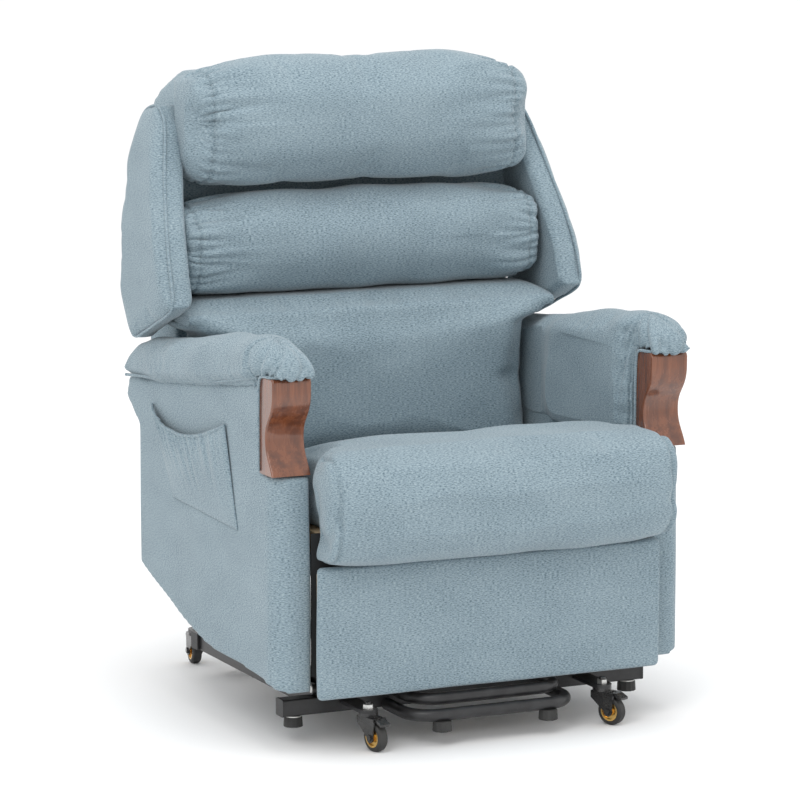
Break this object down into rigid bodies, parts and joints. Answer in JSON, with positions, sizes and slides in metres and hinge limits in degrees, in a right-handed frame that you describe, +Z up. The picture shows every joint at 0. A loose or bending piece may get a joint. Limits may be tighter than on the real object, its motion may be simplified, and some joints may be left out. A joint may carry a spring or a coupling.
{
  "type": "lift recliner chair",
  "caption": "Upholstered powered recliner on a castor base that lifts and tilts, with wings, pillow back, wood arm facings, side pocket and folding leg rest.",
  "frame": {"origin": "middle of the chair's overall footprint, on the floor under the castors", "axes": "+Z up; the chair faces -Y, so +Y points to its back; +X is to the left of a person sitting in it"},
  "size_m": [0.84, 0.88, 1.165],
  "materials": {
    "frame": "satin black powder coat",
    "black_plastic": "fine grained moulding",
    "foot_rubber": "moulded foot",
    "zinc": "bright zinc plate",
    "castor_steel": "gloss black",
    "tyre": "smooth castor tyre",
    "brass": "golden plated hub",
    "upholstery": "blue-grey melange chenille",
    "facing_wood": "glossy mahogany stain",
    "inner_wood": "raw plywood",
    "spring_steel": "drawn spring wire"
  },
  "bodies": {
    "base": {"front_crossbar": "frame", "rear_crossbar": "frame", "base_rails": "frame", "bar_end_caps": "black_plastic", "levelling_feet": "foot_rubber", "floor_hoop": "frame", "castor_brackets": "frame", "castor_stem_nuts": "zinc", "lift_uprights": "frame", "lift_pivot_pins": "zinc", "lift_motor": "black_plastic"},
    "castor_front_left": {"castor_fork_front_left": "castor_steel"},
    "wheel_front_left": {"castor_tyre_front_left": "tyre", "castor_hub_front_left": "brass"},
    "pedal_front_left": {"castor_pedal_front_left": "castor_steel"},
    "castor_front_right": {"castor_fork_front_right": "castor_steel"},
    "wheel_front_right": {"castor_tyre_front_right": "tyre", "castor_hub_front_right": "brass"},
    "pedal_front_right": {"castor_pedal_front_right": "castor_steel"},
    "castor_rear_left": {"castor_fork_rear_left": "castor_steel"},
    "wheel_rear_left": {"castor_tyre_rear_left": "tyre", "castor_hub_rear_left": "brass"},
    "pedal_rear_left": {"castor_pedal_rear_left": "castor_steel"},
    "castor_rear_right": {"castor_fork_rear_right": "castor_steel"},
    "wheel_rear_right": {"castor_tyre_rear_right": "tyre", "castor_hub_rear_right": "brass"},
    "pedal_rear_right": {"castor_pedal_rear_right": "castor_steel"},
    "lift_arms": {"lift_arms": "frame"},
    "lift_links": {"lift_links": "frame"},
    "lift_rod": {"lift_rod": "zinc"},
    "chassis": {"chassis_frame": "frame", "lift_hoop": "frame", "rear_panel": "upholstery", "control_box": "black_plastic", "seat_frame": "inner_wood", "seat_springs": "spring_steel", "seat_cushion": "upholstery", "arm_panel_left": "upholstery", "arm_panel_right": "upholstery", "arm_pad_left": "upholstery", "arm_pad_right": "upholstery", "knuckle_left": "facing_wood", "knuckle_right": "facing_wood", "side_pocket": "upholstery", "recline_motor": "black_plastic", "leg_rest_motor": "black_plastic"},
    "backrest": {"back_brackets": "frame", "back_shell": "upholstery", "back_cushion": "upholstery", "lumbar_pillow": "upholstery", "head_pillow": "upholstery", "wing_left": "upholstery", "wing_right": "upholstery"},
    "recline_rod": {"recline_rod": "zinc"},
    "leg_rest_rod": {"leg_rest_rod": "zinc"},
    "leg_rear_links": {"leg_rear_links": "frame"},
    "leg_guide_links": {"leg_guide_links": "frame"},
    "leg_front_links": {"leg_front_links": "frame"},
    "leg_rest": {"leg_rest_panel": "inner_wood", "leg_rest_cushion": "upholstery"}
  },
  "joints": [
    {"name": "swivel_front_left", "type": "hinge", "parent": "base", "child": "castor_front_left", "pos_m": [-0.228, -0.34, 0.065], "axis": [0, 0, 1], "continuous": true},
    {"name": "roll_front_left", "type": "hinge", "parent": "castor_front_left", "child": "wheel_front_left", "pos_m": [-0.22343, -0.36152, 0.025], "axis": [0.9781, 0.2079, 0], "continuous": true},
    {"name": "brake_front_left", "type": "hinge", "parent": "castor_front_left", "child": "pedal_front_left", "pos_m": [-0.22239, -0.36641, 0.056], "axis": [0.9781, 0.2079, 0], "range_deg": [0, 12]},
    {"name": "swivel_front_right", "type": "hinge", "parent": "base", "child": "castor_front_right", "pos_m": [0.228, -0.34, 0.065], "axis": [0, 0, 1], "continuous": true},
    {"name": "roll_front_right", "type": "hinge", "parent": "castor_front_right", "child": "wheel_front_right", "pos_m": [0.23764, -0.35977, 0.025], "axis": [0.8988, 0.4384, 0], "continuous": true},
    {"name": "brake_front_right", "type": "hinge", "parent": "castor_front_right", "child": "pedal_front_right", "pos_m": [0.23984, -0.36427, 0.056], "axis": [0.8988, 0.4384, 0], "range_deg": [0, 12]},
    {"name": "swivel_rear_left", "type": "hinge", "parent": "base", "child": "castor_rear_left", "pos_m": [-0.25, 0.3885, 0.065], "axis": [0, 0, 1], "continuous": true},
    {"name": "roll_rear_left", "type": "hinge", "parent": "castor_rear_left", "child": "wheel_rear_left", "pos_m": [-0.24694, 0.41029, 0.025], "axis": [-0.9903, 0.1392, 0], "continuous": true},
    {"name": "brake_rear_left", "type": "hinge", "parent": "castor_rear_left", "child": "pedal_rear_left", "pos_m": [-0.24624, 0.41524, 0.056], "axis": [-0.9903, 0.1392, 0], "range_deg": [0, 12]},
    {"name": "swivel_rear_right", "type": "hinge", "parent": "base", "child": "castor_rear_right", "pos_m": [0.25, 0.3885, 0.065], "axis": [0, 0, 1], "continuous": true},
    {"name": "roll_rear_right", "type": "hinge", "parent": "castor_rear_right", "child": "wheel_rear_right", "pos_m": [0.24694, 0.41029, 0.025], "axis": [-0.9903, -0.1392, 0], "continuous": true},
    {"name": "brake_rear_right", "type": "hinge", "parent": "castor_rear_right", "child": "pedal_rear_right", "pos_m": [0.24624, 0.41524, 0.056], "axis": [-0.9903, -0.1392, 0], "range_deg": [0, 12]},
    {"name": "lift", "type": "hinge", "parent": "base", "child": "lift_arms", "pos_m": [0, -0.19, 0.103], "axis": [1, 0, 0], "range_deg": [0, 58]},
    {"name": "lift_tilt", "type": "hinge", "parent": "lift_arms", "child": "chassis", "pos_m": [0, 0.165, 0.119], "axis": [1, 0, 0], "range_deg": [-34.01, 0]},
    {"name": "lift_link_swing", "type": "hinge", "parent": "base", "child": "lift_links", "pos_m": [0, -0.244, 0.091], "axis": [1, 0, 0], "range_deg": [0, 64.51]},
    {"name": "lift_rod_slide", "type": "slide", "parent": "base", "child": "lift_rod", "axis": [0, -1, 0], "range_m": [0, 0.07761]},
    {"name": "recline", "type": "hinge", "parent": "chassis", "child": "backrest", "pos_m": [0, 0.215, 0.42], "axis": [-1, 0, 0], "range_deg": [0, 38]},
    {"name": "recline_rod_slide", "type": "slide", "parent": "chassis", "child": "recline_rod", "axis": [0, -1, 0], "range_m": [0, 0.06189]},
    {"name": "leg_rest_open", "type": "hinge", "parent": "chassis", "child": "leg_rear_links", "pos_m": [0, -0.23, 0.282], "axis": [-1, 0, 0], "range_deg": [0, 100]},
    {"name": "leg_guide_swing", "type": "hinge", "parent": "chassis", "child": "leg_guide_links", "pos_m": [0, -0.262, 0.298], "axis": [-1, 0, 0], "range_deg": [0, 100]},
    {"name": "leg_knee", "type": "hinge", "parent": "leg_rear_links", "child": "leg_front_links", "pos_m": [0, -0.187, 0.131], "axis": [1, 0, 0], "range_deg": [0, 100]},
    {"name": "leg_rest_turn", "type": "hinge", "parent": "leg_front_links", "child": "leg_rest", "pos_m": [0, -0.33, 0.29], "axis": [-1, 0, 0], "range_deg": [0, 90]},
    {"name": "leg_rest_rod_slide", "type": "slide", "parent": "chassis", "child": "leg_rest_rod", "axis": [0, -1, 0], "range_m": [0, 0.06898]}
  ],
  "couplings": [
    {"joint": "lift_tilt", "follows": "lift", "ratio": -0.58621},
    {"joint": "lift_link_swing", "follows": "lift", "ratio": 1.1121},
    {"joint": "lift_rod_slide", "follows": "lift", "m_per_rad": 0.076628},
    {"joint": "recline_rod_slide", "follows": "recline", "m_per_rad": 0.093268},
    {"joint": "leg_guide_swing", "follows": "leg_rest_open", "ratio": 1},
    {"joint": "leg_knee", "follows": "leg_rest_open", "ratio": 1},
    {"joint": "leg_rest_turn", "follows": "leg_rest_open", "ratio": 0.9},
    {"joint": "leg_rest_rod_slide", "follows": "leg_rest_open", "m_per_rad": 0.039502}
  ]
}
